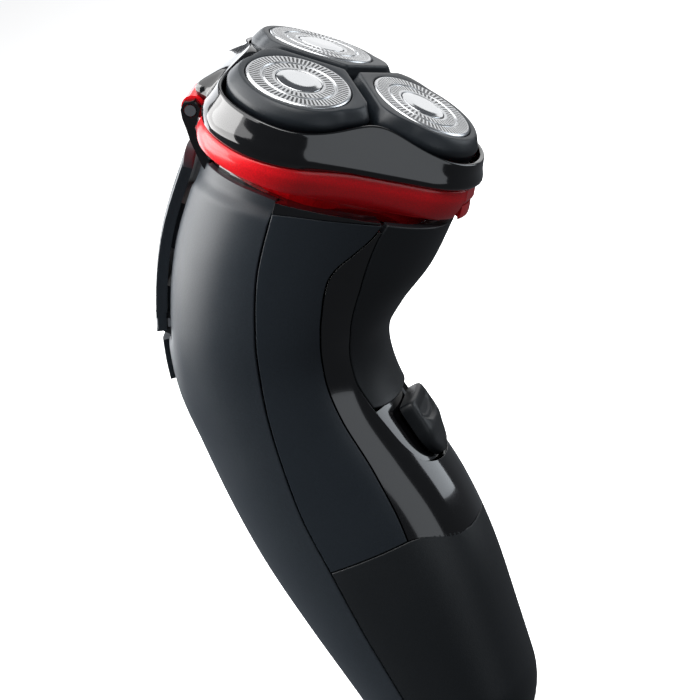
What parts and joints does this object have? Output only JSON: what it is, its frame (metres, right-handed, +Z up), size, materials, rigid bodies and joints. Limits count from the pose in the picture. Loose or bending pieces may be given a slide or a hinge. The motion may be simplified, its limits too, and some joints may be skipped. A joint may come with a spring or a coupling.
{
  "type": "electric shaver",
  "caption": "Rechargeable rotary electric shaver with an angled neck, flip-open head with floating cutters, thumb slide switch and pop-out trimmer.",
  "frame": {"origin": "On the flat foot face, on the handle's middle plane, 2.6 mm in front of the power inlet's opening", "axes": "+Z up the lower handle from the foot, -Y the front with the switch, +X to the right of someone facing the back"},
  "size_m": [0.062, 0.0812, 0.158],
  "materials": {
    "soft_touch_grey": "soft-touch satin",
    "satin_grey": "satin",
    "gloss_black": "piano gloss",
    "matt_black": "fine spark texture",
    "petal_grey": "matt",
    "red_plastic": "clear-tinted gloss",
    "guard_steel": "etched and polished",
    "bright_steel": "turned",
    "white_plastic": "moulded acetal",
    "brass": "turned",
    "board_green": "solder mask",
    "cell_wrap": "shrink film",
    "rubber": "moulded"
  },
  "bodies": {
    "handle": {"rear_shell": "soft_touch_grey", "side_panel_left": "satin_grey", "side_panel_right": "satin_grey", "front_fascia": "gloss_black", "thumb_grip": "matt_black", "lower_front_cover": "matt_black", "switch_recess": "gloss_black", "foot_cap": "matt_black", "inlet_socket": "rubber", "inlet_pin_left": "bright_steel", "inlet_pin_right": "bright_steel", "cell_left": "cell_wrap", "cell_right": "cell_wrap", "chassis": "white_plastic", "cell_contact_lower": "bright_steel", "cell_contact_left": "bright_steel", "cell_contact_right": "bright_steel", "circuit_board": "board_green", "switch_contacts": "white_plastic", "head_seat": "gloss_black", "seat_screw_left": "bright_steel", "seat_screw_right": "bright_steel", "head_hinge_pin": "bright_steel", "gear_plate": "white_plastic", "motor": "bright_steel", "trimmer_bay": "matt_black", "trimmer_hinge_pin": "bright_steel", "trimmer_spring": "bright_steel", "spindle_seal_1": "rubber", "spindle_seal_2": "rubber", "spindle_seal_3": "rubber"},
    "switch": {"switch_slider": "matt_black"},
    "drive_pinion": {"motor_pinion": "brass"},
    "drive_spindle_1": {"spindle_gear_1": "white_plastic"},
    "drive_spindle_2": {"spindle_gear_2": "white_plastic"},
    "drive_spindle_3": {"spindle_gear_3": "white_plastic"},
    "head": {"hair_chamber": "red_plastic", "head_frame": "gloss_black", "retaining_plate": "matt_black", "cutter_spring_1": "bright_steel", "cutter_spring_2": "bright_steel", "cutter_spring_3": "bright_steel"},
    "release_tab": {"release_tab": "red_plastic"},
    "floating_head_1": {"petal_1": "petal_grey", "guard_1": "guard_steel", "guard_cap_1": "guard_steel"},
    "floating_head_2": {"petal_2": "petal_grey", "guard_2": "guard_steel", "guard_cap_2": "guard_steel"},
    "floating_head_3": {"petal_3": "petal_grey", "guard_3": "guard_steel", "guard_cap_3": "guard_steel"},
    "cutter_1": {"cutter_1": "bright_steel"},
    "cutter_2": {"cutter_2": "bright_steel"},
    "cutter_3": {"cutter_3": "bright_steel"},
    "trimmer": {"trimmer_door": "soft_touch_grey", "trimmer_comb": "bright_steel"},
    "trimmer_blade": {"trimmer_blade": "bright_steel"},
    "trimmer_button": {"trimmer_button": "soft_touch_grey"}
  },
  "joints": [
    {"name": "switch_slide", "type": "slide", "parent": "handle", "child": "switch", "axis": [0, 0.1542, 0.988], "range_m": [0, 0.0014]},
    {"name": "head_flip", "type": "hinge", "parent": "handle", "child": "head", "pos_m": [0, -0.01008, 0.15325], "axis": [-1, 0, 0], "range_deg": [0, 100]},
    {"name": "spindle_1_spin", "type": "hinge", "parent": "handle", "child": "drive_spindle_1", "pos_m": [0, -0.03513, 0.1196], "axis": [0, -0.7169, 0.6972], "continuous": true},
    {"name": "spindle_2_spin", "type": "hinge", "parent": "handle", "child": "drive_spindle_2", "pos_m": [0.01263, -0.01988, 0.13528], "axis": [0, -0.7169, 0.6972], "continuous": true},
    {"name": "spindle_3_spin", "type": "hinge", "parent": "handle", "child": "drive_spindle_3", "pos_m": [-0.01263, -0.01988, 0.13528], "axis": [0, -0.7169, 0.6972], "continuous": true},
    {"name": "motor_spin", "type": "hinge", "parent": "handle", "child": "drive_pinion", "pos_m": [0, -0.01923, 0.12448], "axis": [0, -0.7169, 0.6972], "continuous": true},
    {"name": "release_press", "type": "slide", "parent": "head", "child": "release_tab", "axis": [0, 0.6972, 0.7169], "range_m": [0, 0.001], "stiffness_N_per_m": 900},
    {"name": "head_1_flex", "type": "hinge", "parent": "head", "child": "floating_head_1", "pos_m": [0, -0.03461, 0.13735], "axis": [1, 0, 0], "range_deg": [0, 2.2], "stiffness_Nm_per_rad": 1.2, "springref_deg": -1.72, "deforming": ["cutter_spring_1"]},
    {"name": "cutter_1_spin", "type": "hinge", "parent": "floating_head_1", "child": "cutter_1", "pos_m": [0, -0.05077, 0.13221], "axis": [0, -0.807, 0.5906], "continuous": true},
    {"name": "head_2_flex", "type": "hinge", "parent": "head", "child": "floating_head_2", "pos_m": [0.0013, -0.03304, 0.13896], "axis": [-0.5, 0.6038, 0.6209], "range_deg": [0, 2.2], "stiffness_Nm_per_rad": 1.2, "springref_deg": -1.72, "deforming": ["cutter_spring_2"]},
    {"name": "cutter_2_spin", "type": "hinge", "parent": "floating_head_2", "child": "cutter_2", "pos_m": [0.01425, -0.03357, 0.1499], "axis": [0.1205, -0.6614, 0.7403], "continuous": true},
    {"name": "head_3_flex", "type": "hinge", "parent": "head", "child": "floating_head_3", "pos_m": [-0.0013, -0.03304, 0.13896], "axis": [-0.5, -0.6038, -0.6209], "range_deg": [0, 2.2], "stiffness_Nm_per_rad": 1.2, "springref_deg": -1.72, "deforming": ["cutter_spring_3"]},
    {"name": "cutter_3_spin", "type": "hinge", "parent": "floating_head_3", "child": "cutter_3", "pos_m": [-0.01425, -0.03357, 0.1499], "axis": [-0.1205, -0.6614, 0.7403], "continuous": true},
    {"name": "trimmer_swing", "type": "hinge", "parent": "handle", "child": "trimmer", "pos_m": [0, 0.0165, 0.11359], "axis": [-1, 0, 0], "range_deg": [0, 50], "stiffness_Nm_per_rad": 0.002, "springref_deg": 68.75},
    {"name": "blade_slide", "type": "slide", "parent": "trimmer", "child": "trimmer_blade", "axis": [1, 0, 0], "range_m": [-0.0012, 0.0012]},
    {"name": "trimmer_release", "type": "slide", "parent": "handle", "child": "trimmer_button", "axis": [0, -0.9501, -0.312], "range_m": [0, 0.0013], "stiffness_N_per_m": 700}
  ],
  "couplings": [
    {"joint": "spindle_2_spin", "follows": "spindle_1_spin", "ratio": 1},
    {"joint": "spindle_3_spin", "follows": "spindle_1_spin", "ratio": 1},
    {"joint": "motor_spin", "follows": "spindle_1_spin", "ratio": -1.6},
    {"joint": "cutter_1_spin", "follows": "spindle_1_spin", "ratio": 1},
    {"joint": "cutter_2_spin", "follows": "spindle_1_spin", "ratio": 1},
    {"joint": "cutter_3_spin", "follows": "spindle_1_spin", "ratio": 1}
  ]
}
